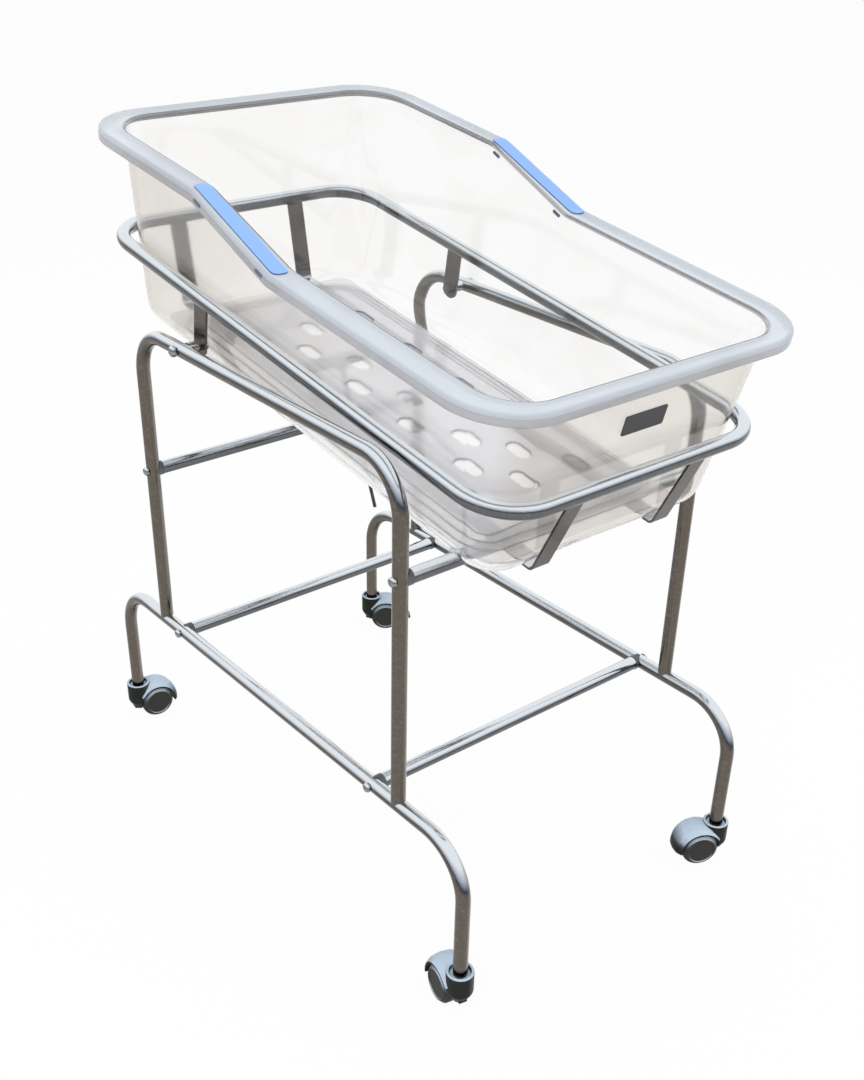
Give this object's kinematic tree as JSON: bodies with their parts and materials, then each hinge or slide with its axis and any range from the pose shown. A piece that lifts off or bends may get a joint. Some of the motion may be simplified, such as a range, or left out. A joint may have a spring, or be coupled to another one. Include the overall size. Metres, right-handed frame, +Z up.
{
  "type": "hospital bassinet",
  "caption": "Hospital bassinet: a clear moulded tub in a tilting tubular steel basket on a tubular base with twin-wheel swivel casters.",
  "frame": {"origin": "on the floor under the middle of the base, in the plane of symmetry of the frame", "axes": "+X runs from the head end to the foot end, +Y to the far side, +Z up"},
  "size_m": [0.8697, 0.5634, 0.9471],
  "materials": {
    "steel": "polished stainless steel tube",
    "flat_bar": "polished stainless flat bar",
    "bright_hardware": "domed bolts, bushes and nuts, bright",
    "stay_rod": "plain round rod, dark zinc",
    "end_plug": "moulded plug collars, satin dark grey",
    "clear_tub": "clear moulded plastic with a faint warm tint",
    "grip": "light blue moulded grip plate",
    "grip_clip": "dark blue-grey clip",
    "label": "blank dark plate",
    "caster_hood": "silver-grey moulded hood",
    "caster_wheel": "dark grey tread and side disc",
    "caster_stem": "zinc-plated stem, axle and pin",
    "brake_lever": "dark moulded lever"
  },
  "bodies": {
    "base": {"foot_tube_near": "steel", "upright_hoop_near": "steel", "foot_tube_far": "steel", "upright_hoop_far": "steel", "lower_crossbar_head": "steel", "lower_crossbar_foot": "steel", "upper_crossbar_head": "steel", "upper_crossbar_foot": "steel", "crossbar_plugs": "end_plug", "crossbar_bolts": "bright_hardware", "pivot_bolts": "bright_hardware", "pivot_spacers": "bright_hardware", "pivot_nuts": "bright_hardware", "caster_near_foot_stem": "caster_stem", "caster_far_foot_stem": "caster_stem", "caster_near_head_stem": "caster_stem", "caster_far_head_stem": "caster_stem"},
    "basket": {"basket_loop": "steel", "basket_strap_near": "flat_bar", "pivot_tab_near": "flat_bar", "basket_strap_far": "flat_bar", "pivot_tab_far": "flat_bar", "stay_bracket": "flat_bar", "stay_pin": "stay_rod"},
    "stay": {"prop_stay": "stay_rod"},
    "tub": {"tub_shell": "clear_tub", "grip_near": "grip", "grip_clips_near": "grip_clip", "grip_far": "grip", "grip_clips_far": "grip_clip", "label_plate": "label"},
    "caster_near_foot": {"caster_near_foot_hood": "caster_hood", "caster_near_foot_axle": "caster_stem", "caster_near_foot_lever_pin": "caster_stem"},
    "near_foot_wheel_left": {"caster_near_foot_wheel_left": "caster_wheel"},
    "near_foot_wheel_right": {"caster_near_foot_wheel_right": "caster_wheel"},
    "near_foot_brake": {"caster_near_foot_brake_lever": "brake_lever"},
    "caster_far_foot": {"caster_far_foot_hood": "caster_hood", "caster_far_foot_axle": "caster_stem"},
    "far_foot_wheel_left": {"caster_far_foot_wheel_left": "caster_wheel"},
    "far_foot_wheel_right": {"caster_far_foot_wheel_right": "caster_wheel"},
    "caster_near_head": {"caster_near_head_hood": "caster_hood", "caster_near_head_axle": "caster_stem"},
    "near_head_wheel_left": {"caster_near_head_wheel_left": "caster_wheel"},
    "near_head_wheel_right": {"caster_near_head_wheel_right": "caster_wheel"},
    "caster_far_head": {"caster_far_head_hood": "caster_hood", "caster_far_head_axle": "caster_stem", "caster_far_head_lever_pin": "caster_stem"},
    "far_head_wheel_left": {"caster_far_head_wheel_left": "caster_wheel"},
    "far_head_wheel_right": {"caster_far_head_wheel_right": "caster_wheel"},
    "far_head_brake": {"caster_far_head_brake_lever": "brake_lever"}
  },
  "joints": [
    {"name": "basket_tilt", "type": "hinge", "parent": "base", "child": "basket", "pos_m": [-0.175, 0, 0.695], "axis": [0, -1, 0], "range_deg": [0, 20]},
    {"name": "tub_lift", "type": "slide", "parent": "basket", "child": "tub", "axis": [0.1502, 0, 0.9887], "range_m": [0, 0.3]},
    {"name": "stay_swing", "type": "hinge", "parent": "basket", "child": "stay", "pos_m": [-0.15574, 0, 0.62659], "axis": [0, 1, 0], "range_deg": [-20, 55]},
    {"name": "near_foot_swivel", "type": "hinge", "parent": "base", "child": "caster_near_foot", "pos_m": [0.41, -0.24, 0.045], "axis": [0, 0, 1], "continuous": true},
    {"name": "near_foot_left_wheel_spin", "type": "hinge", "parent": "caster_near_foot", "child": "near_foot_wheel_left", "pos_m": [0.38555, -0.2348, 0.026], "axis": [-0.2079, -0.9781, 0], "continuous": true},
    {"name": "near_foot_right_wheel_spin", "type": "hinge", "parent": "caster_near_foot", "child": "near_foot_wheel_right", "pos_m": [0.38555, -0.2348, 0.026], "axis": [-0.2079, -0.9781, 0], "continuous": true},
    {"name": "near_foot_brake_press", "type": "hinge", "parent": "caster_near_foot", "child": "near_foot_brake", "pos_m": [0.35474, -0.22825, 0.029], "axis": [-0.2079, -0.9781, 0], "range_deg": [0, 18]},
    {"name": "far_foot_swivel", "type": "hinge", "parent": "base", "child": "caster_far_foot", "pos_m": [0.41, 0.24, 0.045], "axis": [0, 0, 1], "continuous": true},
    {"name": "far_foot_left_wheel_spin", "type": "hinge", "parent": "caster_far_foot", "child": "far_foot_wheel_left", "pos_m": [0.39826, 0.21793, 0.026], "axis": [0.8829, -0.4695, 0], "continuous": true},
    {"name": "far_foot_right_wheel_spin", "type": "hinge", "parent": "caster_far_foot", "child": "far_foot_wheel_right", "pos_m": [0.39826, 0.21793, 0.026], "axis": [0.8829, -0.4695, 0], "continuous": true},
    {"name": "near_head_swivel", "type": "hinge", "parent": "base", "child": "caster_near_head", "pos_m": [-0.41, -0.24, 0.045], "axis": [0, 0, 1], "continuous": true},
    {"name": "near_head_left_wheel_spin", "type": "hinge", "parent": "caster_near_head", "child": "near_head_wheel_left", "pos_m": [-0.40695, -0.21519, 0.026], "axis": [-0.9925, 0.1219, 0], "continuous": true},
    {"name": "near_head_right_wheel_spin", "type": "hinge", "parent": "caster_near_head", "child": "near_head_wheel_right", "pos_m": [-0.40695, -0.21519, 0.026], "axis": [-0.9925, 0.1219, 0], "continuous": true},
    {"name": "far_head_swivel", "type": "hinge", "parent": "base", "child": "caster_far_head", "pos_m": [-0.41, 0.24, 0.045], "axis": [0, 0, 1], "continuous": true},
    {"name": "far_head_left_wheel_spin", "type": "hinge", "parent": "caster_far_head", "child": "far_head_wheel_left", "pos_m": [-0.39566, 0.26048, 0.026], "axis": [-0.8192, 0.5736, 0], "continuous": true},
    {"name": "far_head_right_wheel_spin", "type": "hinge", "parent": "caster_far_head", "child": "far_head_wheel_right", "pos_m": [-0.39566, 0.26048, 0.026], "axis": [-0.8192, 0.5736, 0], "continuous": true},
    {"name": "far_head_brake_press", "type": "hinge", "parent": "caster_far_head", "child": "far_head_brake", "pos_m": [-0.37759, 0.28628, 0.029], "axis": [-0.8192, 0.5736, 0], "range_deg": [0, 18]}
  ]
}
